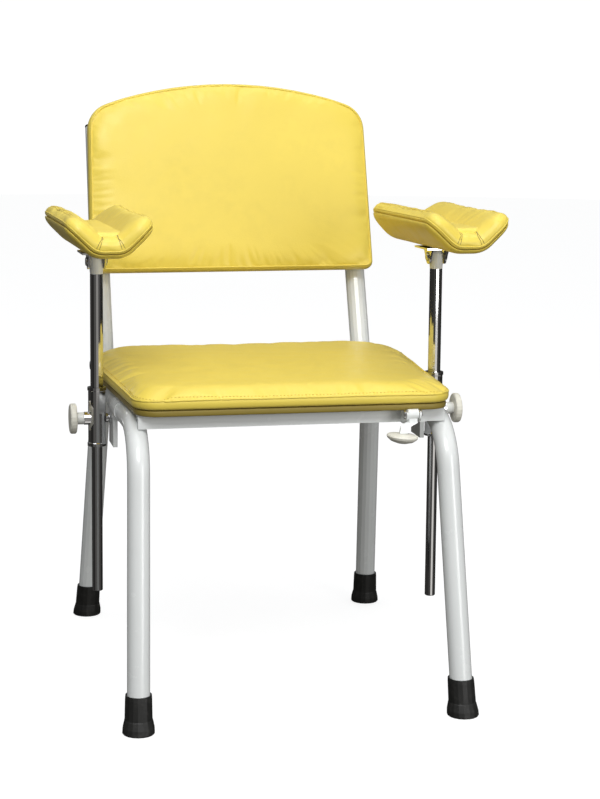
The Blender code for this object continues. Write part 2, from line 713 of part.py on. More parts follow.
def clamp_sleeve(hand, side):
    """The chromed sleeve: a narrow bore for the rod, and a wider mouth for the upper tube."""
    bore = POST_ROD_R + 0.0005
    mouth = POST_TUBE_R + 0.0006
    lip = 0.0011
    top = SLEEVE_TOP[hand]
    profile = [(bore, SLEEVE_BOTTOM), (SLEEVE_R + lip, SLEEVE_BOTTOM),
               (SLEEVE_R + lip, SLEEVE_BOTTOM + 0.0045), (SLEEVE_R, SLEEVE_BOTTOM + 0.0055),
               (SLEEVE_R, top - 0.0055), (SLEEVE_R + lip, top - 0.0045),
               (SLEEVE_R + lip, top), (mouth, top), (mouth, SLEEVE_STEP),
               (bore, SLEEVE_STEP)]
    place = Matrix.Translation((side * POST_X, POST_Y, 0))
    sleeve = turned(f"{hand}_clamp_sleeve", profile, chrome(), place, closed=True)
    boss = sorted((side * (POST_X + 0.0098), side * (POST_X + SLEEVE_R + 0.006)))
    weld(sleeve, peg(f"{hand}_clamp_boss", boss, POST_Y, CLAMP_Z, 0.0098))
    hole = sorted((side * POST_X, side * (POST_X + 0.04)))
    cut(sleeve, peg(f"{hand}_clamp_hole", hole, POST_Y, CLAMP_Z, HOLE_R))


def clamp(hand, side):
    """Pressure pad, screw with its hub, and the disc knob, in line along X."""
    pad = POST_X + POST_ROD_R + GAP
    tip = pad + 0.0024
    hub = POST_X + SLEEVE_R + 0.006 + GAP
    knob = hub + 0.0112
    place = along_x(0, POST_Y, CLAMP_Z, side)
    turned(f"{hand}_clamp_pad", [(0, pad), (BOLT_R, pad), (BOLT_R, tip - GAP), (0, tip - GAP)],
           material("brass", BRASS, 0.3, 1.0), place, sides=16)
    screw = [(0, tip), (BOLT_R, tip), (BOLT_R, hub), (0.0086, hub), (0.0090, hub + 0.001),
             (0.0090, knob - GAP), (0, knob - GAP)]
    turned(f"{hand}_clamp_screw", screw, material("white_nylon", WHITE, 0.45), place, sides=20)
    disc = [(0, knob), (KNOB_R - 0.0022, knob), (KNOB_R - 0.0006, knob + 0.0008),
            (KNOB_R, knob + 0.0025), (KNOB_R, knob + 0.0072), (KNOB_R - 0.0008, knob + 0.0090),
            (KNOB_R - 0.0025, knob + 0.0098), (0, knob + 0.0098)]
    turned(f"{hand}_clamp_knob", disc, material("cream_plastic", CREAM, 0.4), place, sides=24)


def post(hand, side):
    place = Matrix.Translation((side * POST_X, POST_Y, 0))
    edge = 0.001
    bottom = POST_ROD_BOTTOM[hand]
    rod = [(0, bottom), (POST_ROD_R - edge, bottom),
           (POST_ROD_R, bottom + edge), (POST_ROD_R, POST_ROD_TOP - edge),
           (POST_ROD_R - edge, POST_ROD_TOP), (0, POST_ROD_TOP)]
    turned(f"{hand}_post_rod", rod, chrome(), place)
    tube = [(POST_TUBE_BORE, POST_TUBE_BOTTOM), (POST_TUBE_R - 0.0004, POST_TUBE_BOTTOM),
            (POST_TUBE_R, POST_TUBE_BOTTOM + edge), (POST_TUBE_R, POST_TOP),
            (POST_TUBE_BORE, POST_TOP)]
    turned(f"{hand}_post_tube", tube, chrome(), place, closed=True)


def swivel_head(hand, side):
    """The moulded plug in the post's top, which the trough's bracket tilts on."""
    stem = POST_TUBE_BORE - GAP
    base = POST_TOP + GAP
    profile = [(0, POST_ROD_TOP + 0.006), (stem, POST_ROD_TOP + 0.006), (stem, base),
               (POST_TUBE_R, base), (0.0100, base + 0.006), (0.0104, TILT_Z + 0.005),
               (0.0086, TILT_Z + 0.0085), (0.0060, TILT_Z + 0.0100), (0, TILT_Z + 0.0104)]
    place = Matrix.Translation((side * POST_X, POST_Y, 0))
    head = turned(f"{hand}_swivel_head", profile, material("white_nylon", WHITE, 0.45), place)
    cut(head, peg(f"{hand}_head_bore", (-0.3, 0.3), POST_Y, TILT_Z, HOLE_R))


def pad_bracket(hand, side):
    """A chromed channel under the trough: a flat base and two round-bottomed cheeks."""
    centre = side * POST_X
    top = TROUGH_Z - TROUGH_BOARD_T - 2 * GAP
    base = block(f"{hand}_pad_bracket", (centre - 0.024, POST_Y - 0.036, top - 0.0027),
                 (centre + 0.024, POST_Y + 0.036, top), chrome())
    for name, offset in (("inner", -1), ("outer", 1)):
        span = sorted((centre + offset * 0.0108, centre + offset * 0.0133))
        outline = [(POST_Y - 0.025, top - 0.001)]
        for step in range(9):
            angle = math.radians(200 + 140 * step / 8)
            outline.append((POST_Y + 0.0115 * math.cos(angle), TILT_Z + 0.0115 * math.sin(angle)))
        outline.append((POST_Y + 0.025, top - 0.001))
        weld(base, prism(f"{hand}_{name}_cheek", outline, span, chrome(), SIDEWAYS))
    cut(base, peg(f"{hand}_cheek_hole", (-0.3, 0.3), POST_Y, TILT_Z, HOLE_R))
    headed_pin(f"{hand}_tilt_pin", centre - 0.0136, centre + 0.0136, POST_Y, TILT_Z, 0.0065,
               0.0024, steel())


def trough_section(side, y, low, high, trim):
    """The bent cross-section between two heights above the flat, wings cut back by trim."""
    across = Vector((math.cos(TROUGH_ANGLE), math.sin(TROUGH_ANGLE)))
    square = Vector((-math.sin(TROUGH_ANGLE), math.cos(TROUGH_ANGLE)))
    shrink = math.tan(TROUGH_ANGLE / 2)
    half = []
    for level in (low, high):
        crease = Vector((TROUGH_FLAT - level * shrink, level))
        tip = Vector((TROUGH_FLAT, 0)) + across * (TROUGH_WING - trim) + square * level
        half.append((crease, tip))
    (crease_low, tip_low), (crease_high, tip_high) = half
    loop = [tip_low, tip_high, crease_high]
    right = [crease_low] + loop
    left = [Vector((-p.x, p.y)) for p in reversed(right)]
    return [Vector((side * POST_X + p.x, y, TROUGH_Z + p.y)) for p in right + left]


def trough(name, side, low, high, inset, finish):
    """A bent slab along Y whose wings have rounded corners at both ends."""
    front = POST_Y - TROUGH_FRONT + inset
    rear = POST_Y + TROUGH_REAR - inset
    steps = 5
    stations = []
    for step in range(steps + 1):
        angle = math.pi / 2 * step / steps
        run = TROUGH_CORNER * (1 - math.cos(angle))
        trim = TROUGH_CORNER * (1 - math.sin(angle))
        stations.append((run, trim))
    places = [(front + run, trim) for run, trim in stations]
    places += [(rear - run, trim) for run, trim in reversed(stations)]
    points = []
    faces = []
    count = 8
    for y, trim in places:
        points += trough_section(side, y, low, high, trim + inset)
    for station in range(len(places) - 1):
        base = station * count
        for k in range(count):
            follow = (k + 1) % count
            faces.append((base + k, base + follow, base + count + follow, base + count + k))
    last = (len(places) - 1) * count
    for start in (0, last):
        for quad in ((0, 1, 2, 3), (4, 5, 6, 7), (0, 3, 4, 7)):
            faces.append(tuple(start + k for k in quad))
    return add_object(name, mesh_from(name, points, faces), finish)


def tilt_trough(hand):
    """Turn the bracket, board and cushion together about the axis of the tilt pin."""
    axis = Matrix.Translation((0, POST_Y, TILT_Z))
    turn = axis @ Matrix.Rotation(-TROUGH_TILT, 4, "X") @ axis.inverted()
    for name in ("pad_bracket", "inner_cheek", "outer_cheek", "cheek_hole", "arm_board",
                 "arm_cushion"):
        bpy.data.objects[f"{hand}_{name}"].matrix_world = turn


def arm_rest(hand, side):
    trough(f"{hand}_arm_board", side, -TROUGH_BOARD_T - GAP, -GAP, 0.007,
           material("vinyl_dark", YELLOW_DARK, 0.5))
    trough(f"{hand}_arm_cushion", side, 0, TROUGH_PAD_T, 0, vinyl())
    tilt_trough(hand)


# ---- assembly ----
def main():
    for thing in list(bpy.data.objects):
        bpy.data.objects.remove(thing, do_unlink=True)
    for hand, side in (("left", 1), ("right", -1)):
        side_frame(hand, side)
        rear_leg(hand, side)
        ferrule(f"{hand}_front_ferrule", FRONT_FOOT, FRONT_LEAN, side)
        ferrule(f"{hand}_rear_ferrule", REAR_FOOT, REAR_LEAN, side)
        hinge_bracket(hand, side)
        hinge_bolt(hand, side)
        upright(hand, side)
        rail_collar(hand, side)
        stub_bolt(hand, side)
        clamp_sleeve(hand, side)
        clamp(hand, side)
        post(hand, side)
        swivel_head(hand, side)
        pad_bracket(hand, side)
        arm_rest(hand, side)
    crossbar("front_crossbar", FRONT_BAR_Y)
    crossbar("rear_crossbar", REAR_BAR_Y)
    seat()
    backrest()
    back_bolts()
    back_cross_tube()
    crank_arm()
    strut()
    strut_bracket()
    lever_bracket()
    release_lever()
    for thing in bpy.data.objects:
        thing.location.y -= ORIGIN_Y


main()
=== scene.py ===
"""Blood donor chair: upholstery, finishes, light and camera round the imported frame."""

import math

import bmesh
import bpy
import numpy as np
from mathutils import Matrix, Vector, noise
from mathutils.bvhtree import BVHTree
from mathutils.geometry import convex_hull_2d


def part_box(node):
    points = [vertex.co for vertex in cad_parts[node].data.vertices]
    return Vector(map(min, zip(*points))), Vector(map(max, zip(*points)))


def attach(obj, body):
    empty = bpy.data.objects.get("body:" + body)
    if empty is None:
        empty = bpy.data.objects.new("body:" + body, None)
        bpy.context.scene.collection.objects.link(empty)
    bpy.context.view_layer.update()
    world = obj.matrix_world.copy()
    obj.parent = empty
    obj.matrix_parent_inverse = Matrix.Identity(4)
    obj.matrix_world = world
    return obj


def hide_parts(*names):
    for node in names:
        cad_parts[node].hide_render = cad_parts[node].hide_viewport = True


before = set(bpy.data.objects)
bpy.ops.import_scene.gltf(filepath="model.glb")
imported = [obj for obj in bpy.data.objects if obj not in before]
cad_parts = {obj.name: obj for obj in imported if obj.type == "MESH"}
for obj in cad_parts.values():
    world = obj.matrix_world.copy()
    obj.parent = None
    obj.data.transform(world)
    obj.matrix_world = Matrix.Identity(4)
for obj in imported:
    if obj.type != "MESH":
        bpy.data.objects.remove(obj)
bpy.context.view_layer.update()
HANDS = (("left", 1), ("right", -1))        # name, and the sign of X on that side

# ---- sizes that the frame's boxes don't give, metres ----
SEAT_SEAM_H = 0.0137        # seam above the underside of the seat cushion
SEAT_COUNT = 420            # points round the seat's and the backrest's outlines
FLAT_CROWN = 0.0010         # how much their middles rise

ARM_T = 0.0230              # padding of the arm troughs
ARM_LINING_T = 0.0070       # their board and its facing
ARM_COUNT = 340             # points round a trough pad's outline
CREASE_ANGLE = math.radians(44)
CREASE_R = 0.030            # radius of the underside at the creases
FLAT_HALF = 0.0210          # from the middle to where the underside's planes meet
CREASE_CUT = CREASE_R * math.tan(CREASE_ANGLE / 2)
CREASE_START = FLAT_HALF - CREASE_CUT       # from the middle to where the crease's arc starts
CREASE_ARC = CREASE_R * CREASE_ANGLE        # length of that arc
NEAR_CORNER_R = 0.0255      # corners of the arm cushions
FAR_CORNER_R = 0.0510
BAND_TOP = 0.0155           # upper seam of the arm cushions
DART_START = 0.030          # where the wings' seams stop short of the near end
DART_GAP = 0.0026           # of a dart's two seams from the crease

TUBE_R = 0.016
TUBE_START = 0.0125         # height of the tube's end in its rubber foot
BEND_R = 0.080
FRONT_FOOT = (0.232, -0.330)
FRONT_LEAN = (-0.0272, 0.1913)      # run of the front leg per metre of height

OUTLINE_PITCH = 0.0006      # between the points of an outline before it is smoothed
PIPING_PITCH = 0.004
FLOOR_R = 9
FLOOR_DROP = 0.0005         # of the floor below the feet

# ---- the camera, fitted to the photographed chair ----
CAMERA_SPOT = (-0.6002, -3.0364, 0.9617)
CAMERA_YAW = 0.18696        # radians
CAMERA_PITCH = 0.14087
CAMERA_ROLL = 0.00623
CAMERA_LENS = 92.73         # millimetres on a 36 mm sensor
CAMERA_SHIFT = (0.0705, -0.0986)

# ---- colours ----
YELLOW = (0.835, 0.655, 0.098)
# a darker copy of the yellow vinyl: painted shade, not a colour of its own
YELLOW_PAINTED_SHADE = (0.27, 0.20, 0.030)
WHITE = (0.80, 0.82, 0.81)
SCUFF = (0.52, 0.51, 0.47)
DUST = (0.075, 0.070, 0.062)
WOOD = (0.33, 0.235, 0.11)
WOOD_RINGS = (0.20, 0.13, 0.06)
WOOD_PORES = (0.20, 0.12, 0.06)

# What a polished surface sees round the studio, by share of the whole turn.
STUDIO_ROUND = ((0.0, 0.22), (0.025, 0.10), (0.075, 0.06), (0.115, 0.14), (0.18, 0.03),
                (0.25, 0.012), (0.33, 0.05), (0.42, 0.02), (0.5, 0.10), (0.58, 0.02),
                (0.67, 0.06), (0.75, 0.012), (0.82, 0.035), (0.875, 0.08), (0.91, 0.16),
                (0.935, 0.70), (0.960, 0.80), (0.975, 0.34), (1.0, 0.22))


# ---- materials ----
class Graph:
    """Short ways to add nodes to a shader tree."""

    def __init__(self, tree):
        self.tree = tree

    def put(self, value, target):
        """Link an output to the input, or set the input to a constant."""
        if isinstance(value, bpy.types.NodeSocket):
            self.tree.links.new(value, target)
        else:
            target.default_value = value

    def node(self, kind, **inputs):
        made = self.tree.nodes.new(kind)
        for socket, value in inputs.items():
            self.put(value, made.inputs[socket.replace("_", " ")])
        return made

    def spread(self, source, low, high, to_low=0.0, to_high=1.0):
        """Map the range low to high to another, clamped at its ends."""
        return self.node("ShaderNodeMapRange", Value=source, From_Min=low, From_Max=high,
                         To_Min=to_low, To_Max=to_high).outputs[0]

    def mixed(self, share, first, second):
        """The first colour where the share is 0, the second where it is 1."""
        made = self.tree.nodes.new("ShaderNodeMix")
        made.data_type = "RGBA"
        factor, colours = made.inputs[0], made.inputs[6:8]
        self.put(share, factor)
        self.put(first, colours[0])
        self.put(second, colours[1])
        return made.outputs[2]


class Finish(Graph):
    """A procedural material: mottled colour, uneven gloss and a fine relief, in metres."""

    def __init__(self, name, colour, rough, metal=0.0, **constants):
        self.material = bpy.data.materials.new(name)
        self.material.use_nodes = True
        self.material.diffuse_color = (*colour, 1)
        super().__init__(self.material.node_tree)
        self.shader = self.tree.nodes["Principled BSDF"]
        self.colour = colour
        self.rough = rough
        self.relief = None
        self.shader.inputs["Base Color"].default_value = (*colour, 1)
        self.shader.inputs["Roughness"].default_value = rough
        self.shader.inputs["Metallic"].default_value = metal
        self.place = self.node("ShaderNodeTexCoord").outputs["Object"]
        for socket, value in constants.items():
            self.shader.inputs[socket.replace("_", " ")].default_value = value

    def stretched(self, stretch):
        return self.node("ShaderNodeMapping", Vector=self.place, Scale=stretch).outputs[0]

    def cloud(self, scale, detail=3.0, stretch=(1, 1, 1), rough=0.55):
        made = self.node("ShaderNodeTexNoise", Vector=self.stretched(stretch), Scale=scale,
                         Detail=detail, Roughness=rough)
        return made.outputs["Fac"]

    def cells(self, scale):
        made = self.node("ShaderNodeTexVoronoi", Vector=self.place, Scale=scale)
        return made.outputs["Distance"]

    def tint(self, mask, colour):
        """Lay a second colour over the first where the mask is 1."""
        base = self.shader.inputs["Base Color"]
        below = base.links[0].from_socket if base.is_linked else base.default_value
        self.tree.links.new(self.mixed(mask, below, (*colour, 1)), base)
        return self

    def mottle(self, scale, amount):
        darker = tuple(channel * (1 - amount) for channel in self.colour)
        return self.tint(self.spread(self.cloud(scale), 0.35, 0.65), darker)

    def gloss(self, source, spread):
        """Vary the roughness by that much either way."""
        rough = self.spread(source, 0.3, 0.7, self.rough - spread, self.rough + spread)
        self.tree.links.new(rough, self.shader.inputs["Roughness"])

    def bump(self, source, depth, strength):
        """Add a relief of that depth; several of them stack."""
        made = self.node("ShaderNodeBump", Height=source, Distance=depth, Strength=strength)
        if self.relief is not None:
            self.tree.links.new(self.relief, made.inputs["Normal"])
        self.relief = made.outputs[0]
        self.tree.links.new(self.relief, self.shader.inputs["Normal"])


def leatherette(name, colour, rough=0.42):
    made = Finish(name, colour, rough, Specular_IOR_Level=0.42, Coat_Weight=0.10,
                  Coat_Roughness=0.32, Sheen_Weight=0.06, Sheen_Roughness=0.5)
    made.mottle(7, 0.07).mottle(55, 0.035)
    pores = made.spread(made.cells(760), 0.0, 0.22, 0.12, 0)
    made.tint(pores, tuple(channel * 0.62 for channel in colour))
    made.gloss(made.cloud(38, 5), 0.06)
    made.bump(made.cells(620), 0.00022, 0.35)
    made.bump(made.cloud(1500, 2), 0.00008, 0.4)
    made.bump(made.cloud(26, 4), 0.0011, 0.22)
    return made.material


def powder_coat():
    made = Finish("powder_coat_finish", WHITE, 0.24, Coat_Weight=0.35, Coat_Roughness=0.12)
    made.mottle(9, 0.03)
    scuffs = made.spread(made.cloud(130, 9, (1, 1, 0.35), 0.72), 0.67, 0.74, 0, 0.30)
    made.tint(scuffs, SCUFF)
    made.gloss(made.cloud(45, 5), 0.05)
    made.bump(made.cloud(900, 3), 0.00010, 0.35)
    made.bump(made.cloud(140, 2), 0.00018, 0.25)
    return made.material


def metal(name, colour, rough, brushed, haze=(0.45, 0.44, 0.42)):
    made = Finish(name, colour, rough, 1.0)
    made.tint(made.spread(made.cloud(24, 6), 0.45, 0.75, 0, 0.10), haze)
    made.gloss(made.cloud(85, 6, (1, 1, 0.3)), rough * 0.45)
    made.bump(made.cloud(240, 3, (1, 1, 14)), 0.00005, brushed)
    made.bump(made.cloud(60, 2), 0.00010, 0.08)
    return made.material


def plastic(name, colour, rough, fine=0.25):
    made = Finish(name, colour, rough, Specular_IOR_Level=0.45)
    made.mottle(30, 0.05)
    made.gloss(made.cloud(120, 5), 0.07)
    made.bump(made.cloud(1300, 3), 0.00010, fine)
    return made.material


def rubber():
    made = Finish("rubber_finish", (0.012, 0.012, 0.011), 0.52, Specular_IOR_Level=0.4)
    dusty = made.spread(made.cloud(70, 8, rough=0.7), 0.52, 0.78, 0, 0.35)
    made.tint(dusty, DUST)
    made.gloss(made.cloud(90, 5), 0.10)
    made.bump(made.cloud(700, 3), 0.00020, 0.4)
    return made.material


def plywood():
    made = Finish("plywood_finish", WOOD, 0.62, Specular_IOR_Level=0.3)
    rings = made.cloud(13, 6, (1, 0.12, 1), 0.62)
    made.tint(made.spread(rings, 0.42, 0.60, 0, 0.55), WOOD_RINGS)
    pores = made.spread(made.cloud(260, 4, (1, 0.06, 1)), 0.56, 0.66, 0, 0.45)
    made.tint(pores, WOOD_PORES)
    made.gloss(rings, 0.08)
    made.bump(made.cloud(420, 3, (1, 0.06, 1)), 0.00022, 0.5)
    return made.material


FINISHES = {
    "powder_coat": powder_coat(),
    "vinyl": leatherette("vinyl_finish", YELLOW),
    # the yellow vinyl again, darkened as painted shade
    "vinyl_dark": leatherette("vinyl_painted_shade_finish", YELLOW_PAINTED_SHADE, 0.5),
    "plywood": plywood(),
    "rubber": rubber(),
    "chrome": metal("chrome_finish", (0.72, 0.72, 0.73), 0.07, 0.06),
    "zinc_steel": metal("zinc_steel_finish", (0.60, 0.61, 0.62), 0.27, 0.4),
    "cream_plastic": plastic("cream_plastic_finish", (0.84, 0.82, 0.72), 0.38),
    "white_nylon": plastic("white_nylon_finish", (0.80, 0.81, 0.78), 0.42),
    "brass": metal("brass_finish", (0.72, 0.52, 0.22), 0.28, 0.3, (0.35, 0.24, 0.10)),
    "black_enamel": plastic("black_enamel_finish", (0.014, 0.014, 0.015), 0.30),
}
THREAD = plastic("thread_finish", (0.62, 0.44, 0.06), 0.7, 0.6)

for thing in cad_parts.values():
    for material_slot in thing.material_slots:
        material_slot.material = FINISHES[material_slot.material.name.split(".")[0]]


# ---- meshes ----
def add_piece(name, points, faces, slot, body, material=None):
    mesh = bpy.data.meshes.new(name)
    mesh.from_pydata([tuple(point) for point in points], [], faces)
    work = bmesh.new()
    work.from_mesh(mesh)
    bmesh.ops.recalc_face_normals(work, faces=work.faces)
    work.to_mesh(mesh)
    work.free()
    mesh.shade_smooth()
    mesh.materials.append(material or FINISHES[slot])
    thing = bpy.data.objects.new(name, mesh)
    bpy.context.scene.collection.objects.link(thing)
    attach(thing, body)
    return thing


def on_circle(radius, step, sides):
    """The step-th of that many points spaced evenly round a circle."""
    angle = 2 * math.pi * step / sides
    return radius * math.cos(angle), radius * math.sin(angle)


def in_world(points, place):
    """The rows of an array of points, moved out of the place's own axes."""
    matrix = np.array(place)
    return points @ matrix[:3, :3].T + matrix[:3, 3]


def lathe(name, profile, place, slot, body, sides=56):
    """Turn (radius, height) pairs about the place's Z; a radius of 0 closes the end."""
    points = []
    faces = []
    rings = []
    for radius, height in profile:
        count = 1 if radius == 0 else sides
        rings.append((len(points), count))
        points += [place @ Vector((*on_circle(radius, k, sides), height)) for k in range(count)]
    for (low, few), (high, many) in zip(rings, rings[1:]):
        for k in range(sides):
            follow = (k + 1) % sides
            face = [low + k % few, low + follow % few, high + follow % many, high + k % many]
            faces.append(tuple(dict.fromkeys(face)))
    return add_piece(name, points, faces, slot, body)


def tube_data(path, radius, sides, closed=False):
    """Points and faces of a tube along a path, its rings turned as little as possible."""
    path = np.asarray(path, float)
    count = len(path)
    if closed:
        run = np.roll(path, -1, 0) - np.roll(path, 1, 0)
    else:
        run = np.gradient(path, axis=0)
    run /= np.linalg.norm(run, axis=1)[:, None]
    any_other_way = run[0] + (0.31, 0.17, 0.93)
    side = np.cross(run, any_other_way)
    side /= np.linalg.norm(side, axis=1)[:, None]
    previous = side[0]
    for k in range(count):
        side[k] = previous - run[k] * previous.dot(run[k])
        side[k] /= np.linalg.norm(side[k])
        previous = side[k]
    other = np.cross(run, side)
    points = []
    for k in range(count):
        for step in range(sides):
            along_side, along_other = on_circle(radius, step, sides)
            points.append(path[k] + along_side * side[k] + along_other * other[k])
    faces = []
    for k in range(count if closed else count - 1):
        low = k * sides
        high = (k + 1) % count * sides
        turn = 0
        if closed and k == count - 1:
            gaps = [np.linalg.norm(points[high + step] - points[low]) for step in range(sides)]
            turn = int(np.argmin(gaps))
        for step in range(sides):
            follow = (step + 1) % sides
            faces.append((low + step, low + follow, high + (follow + turn) % sides,
                          high + (step + turn) % sides))
    if not closed:
        faces.append(tuple(range(sides))[::-1])
        faces.append(tuple(range((count - 1) * sides, count * sides)))
    return points, faces


def surface_of(thing):
    graph = bpy.context.evaluated_depsgraph_get()
    return BVHTree.FromObject(thing, graph)


def laid(path, tree, lift):
    """The path moved on to the surface, and the normals there."""
    spots = []
    normals = []
    for point in path:
        spot, normal, _, _ = tree.find_nearest(Vector(point))
        spots.append(spot + normal * lift)
        normals.append(normal)
    return np.array(spots), normals


def evenly(path, pitch, closed):
    """The path's line through points about that far apart."""
    path = np.asarray(path, float)
    if closed:
        path = np.vstack((path, path[:1]))
    walked = np.concatenate(([0], np.cumsum(np.linalg.norm(np.diff(path, axis=0), axis=1))))
    count = max(2, round(walked[-1] / pitch))
    stops = np.linspace(0, walked[-1], count, endpoint=not closed)
    return np.stack([np.interp(stops, walked, path[:, axis]) for axis in range(path.shape[1])], 1)


def smoothed(outline, times):
    for _ in range(times):
        outline = (np.roll(outline, 1, 0) + 2 * outline + np.roll(outline, -1, 0)) / 4
    return outline


def girth(outline):
    return np.linalg.norm(np.roll(outline, -1, 0) - outline, axis=1).sum()


def stitches(name, path, cushion, body, pitch, radius, lift, closed=True):
    """A row of short threads lying on the cushion, each thin and sunk at its two ends."""
    length = 0.0030
    sides = 6
    profile = ((-1, 0.25), (-0.75, 0.8), (0, 1), (0.75, 0.8), (1, 0.25))
    spots, normals = laid(evenly(path, pitch, closed), surface_of(cushion), lift)
    points = []
    faces = []
    for k, spot in enumerate(spots):
        after = spots[(k + 1) % len(spots)] if closed or k + 1 < len(spots) else spot
        before = spots[k - 1] if closed or k else spot
        run = Vector(after - before).normalized()
        across = run.cross(normals[k]).normalized()
        up = across.cross(run)
        base = len(points)
        for share, width in profile:
            sunk = 0.6 * radius * share * share
            for step in range(sides):
                sideways, upwards = on_circle(radius * width, step, sides)
                points.append(Vector(spot) + run * (length / 2 * share) + across * sideways
                              + up * (upwards - sunk))
        last = base + (len(profile) - 1) * sides
        for low in range(base, last, sides):
            for step in range(sides):
                follow = (step + 1) % sides
                faces.append((low + step, low + follow, low + sides + follow, low + sides + step))
        faces.append(tuple(range(base, base + sides)))
        faces.append(tuple(range(last, last + sides)))
    return add_piece(name, points, faces, "vinyl", body, THREAD)


def piping(name, path, cushion, body, radius, lift, closed=True):
    spots, _ = laid(evenly(path, PIPING_PITCH, closed), surface_of(cushion), lift)
    points, faces = tube_data(spots, radius, sides=8, closed=closed)
    return add_piece(name, points, faces, "vinyl", body)


# ---- upholstery ----
def outline_of(node, place, count):
    """The node's outline seen along the place's Z, evenly spaced, in the place's X and Y."""
    into = place.inverted()
    flat = [(into @ vertex.co).to_2d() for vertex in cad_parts[node].data.vertices]
    hull = [flat[k] for k in convex_hull_2d(flat)]
    start = min(range(len(hull)), key=lambda k: (round(hull[k].y, 4), abs(hull[k].x)))
    hull = hull[start:] + hull[:start]
    path = evenly([tuple(point) for point in hull], OUTLINE_PITCH, True)
    return evenly(smoothed(path, 6), girth(path) / count, True)[:count]


def pad_outline(half, reach, count):
    """A rounded rectangle in the flat, counter-clockwise from the middle of the near end."""
    near, far = NEAR_CORNER_R, FAR_CORNER_R
    corners = ((half - near, near - reach, near, -90), (half - far, reach - far, far, 0),
               (far - half, reach - far, far, 90), (near - half, near - reach, near, 180))
    path = [(0.0, -reach)]
    for x, y, radius, start in corners:
        for step in range(13):
            angle = math.radians(start + 90 * step / 12)
            path.append((x + radius * math.cos(angle), y + radius * math.sin(angle)))
    path = smoothed(evenly(path, OUTLINE_PITCH, True), 40)
    return evenly(path, girth(path) / count, True)[:count]


def inset_paths(outline, insets, core):
    """The outline moved in by each distance, its points staying on rays towards the core."""
    rays = core - outline
    steps = np.linspace(0, 0.97, 90)
    spots = outline[None] + rays[None] * steps[:, None, None]
    edge = np.roll(outline, -1, 0) - outline
    span = (edge ** 2).sum(1)
    depths = np.empty(spots.shape[:2])
    for k, row in enumerate(spots):
        away = row[:, None] - outline[None]
        share = np.clip((away * edge[None]).sum(2) / span, 0, 1)
        depths[k] = np.sqrt(((away - share[..., None] * edge[None]) ** 2).sum(2)).min(1)
    depths = np.maximum.accumulate(depths, 0)
    paths = []
    for inset in insets:
        if inset < 0:
            paths.append(outline - rays / np.linalg.norm(rays, axis=1)[:, None] * -inset)
            continue
        share = np.array([np.interp(inset, depths[:, k], steps) for k in range(len(outline))])
        paths.append(outline + rays * share[:, None])
    return paths


def cushion_rings(outline, rim, core, crown, rings):
    """Rings of (x, y, height) from under the cushion, round its rim and in to the core.

    The rim lists how far in from the outline and how high each of its rings is.
    """
    paths = inset_paths(outline, [inset for inset, _ in rim], core)
    made = [np.column_stack((path, np.full(len(path), height)))
            for path, (_, height) in zip(paths, rim)]
    last = made[-1]
    for share in np.linspace(0, 0.94, rings + 1)[1:]:
        path = last[:, :2] + (core - last[:, :2]) * share
        rise = crown * (1 - (1 - share) ** 2)
        made.append(np.column_stack((path, last[:, 2] + rise)))
    return made


def ring_faces(count, rings):
    """Quads between the rings, and each end closed by quads across from side to side."""
    faces = []
    for level in range(rings - 1):
        low = level * count
        for k in range(count):
            follow = (k + 1) % count
            faces.append((low + k, low + follow, low + count + follow, low + count + k))
    for low in (0, (rings - 1) * count):
        for k in range(count // 2):
            strip = (k, k + 1, count - k - 1, (count - k) % count)
            faces.append(tuple(low + spot for spot in dict.fromkeys(strip)))
    return faces


def inflate(thing, pinned, pressure, cap):
    """Blow the cover up a little between its seams, and keep the result."""
    frames = 20
    scene = bpy.context.scene
    group = thing.vertex_groups.new(name="held")
    group.add(pinned, 1.0, "REPLACE")
    cloth = thing.modifiers.new("cover", "CLOTH")
    cloth.settings.vertex_group_mass = "held"
    cloth.settings.use_pressure = True
    cloth.settings.uniform_pressure_force = pressure
    cloth.settings.quality = 5
    cloth.settings.mass = 0.3
    cloth.settings.tension_stiffness = 18
    cloth.settings.compression_stiffness = 18
    cloth.settings.bending_stiffness = 0.8
    cloth.settings.shrink_min = -0.012
    cloth.settings.effector_weights.gravity = 0
    cloth.point_cache.frame_start = 1
    cloth.point_cache.frame_end = frames
    for number in range(1, frames + 1):
        scene.frame_set(number)
    posed = thing.evaluated_get(bpy.context.evaluated_depsgraph_get())
    count = len(thing.data.vertices)
    old = np.empty(count * 3)
    new = np.empty(count * 3)
    thing.data.vertices.foreach_get("co", old)
    posed.data.vertices.foreach_get("co", new)
    moved = (new - old).reshape(-1, 3)
    far = np.linalg.norm(moved, axis=1)
    moved *= np.minimum(1, cap / np.maximum(far, 1e-9))[:, None]
    thing.modifiers.remove(cloth)
    thing.vertex_groups.clear()
    scene.frame_set(1)
    thing.data.vertices.foreach_set("co", old + moved.ravel())
    thing.data.update()


def cushion(name, node, body, rings, place, seam=None, pressure=0, cap=0, slot="vinyl",
            bend=None, swell=None):
    """A covered pad from its rings, and its rows of points.

    With a seam, it is inflated: everything up to that ring is held, and the rest moves by the
    cap at most.
    """
    count = len(rings[0])
    local = np.concatenate(rings)
    if swell is not None:
        local = swell(local, rings)
    if bend is not None:
        local = bend(local)
    points = in_world(local, place)
    thing = add_piece(name, points, ring_faces(count, len(rings)), slot, body)
    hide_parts(node)
    if seam is not None:
        inflate(thing, list(range((seam + 1) * count)), pressure, cap)
    rows = np.array([vertex.co for vertex in thing.data.vertices]).reshape(len(rings), count, 3)
    smooth = thing.modifiers.new("smooth", "SUBSURF")
    smooth.levels = 1
    smooth.render_levels = 1
    bpy.context.view_layer.update()
    return thing, rows


